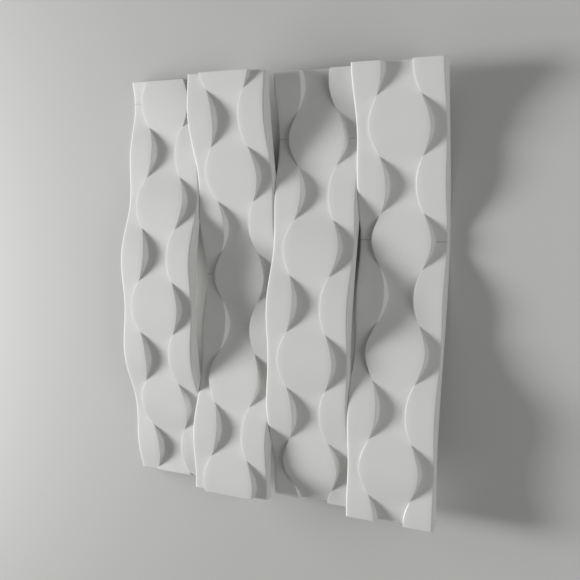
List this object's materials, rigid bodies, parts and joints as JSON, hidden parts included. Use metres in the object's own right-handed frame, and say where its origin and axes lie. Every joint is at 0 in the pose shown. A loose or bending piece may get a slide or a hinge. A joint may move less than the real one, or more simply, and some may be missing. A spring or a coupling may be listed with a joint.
{
  "type": "3d wall panel tile",
  "caption": "Cast plaster wall tile of side-by-side ribbons that wave in and out of the wall, each with a woven relief of ovals and necks.",
  "frame": {"origin": "on the wall face, under the middle of the tile's width and height", "axes": "+X across the ribbons to the right as seen from the front, +Y up the wall, +Z out of the wall; the tile lies on its back"},
  "size_m": [0.48, 0.6, 0.0627],
  "materials": {
    "plaster": "matt"
  },
  "bodies": {
    "root": {"tile": "plaster"}
  },
  "joints": []
}
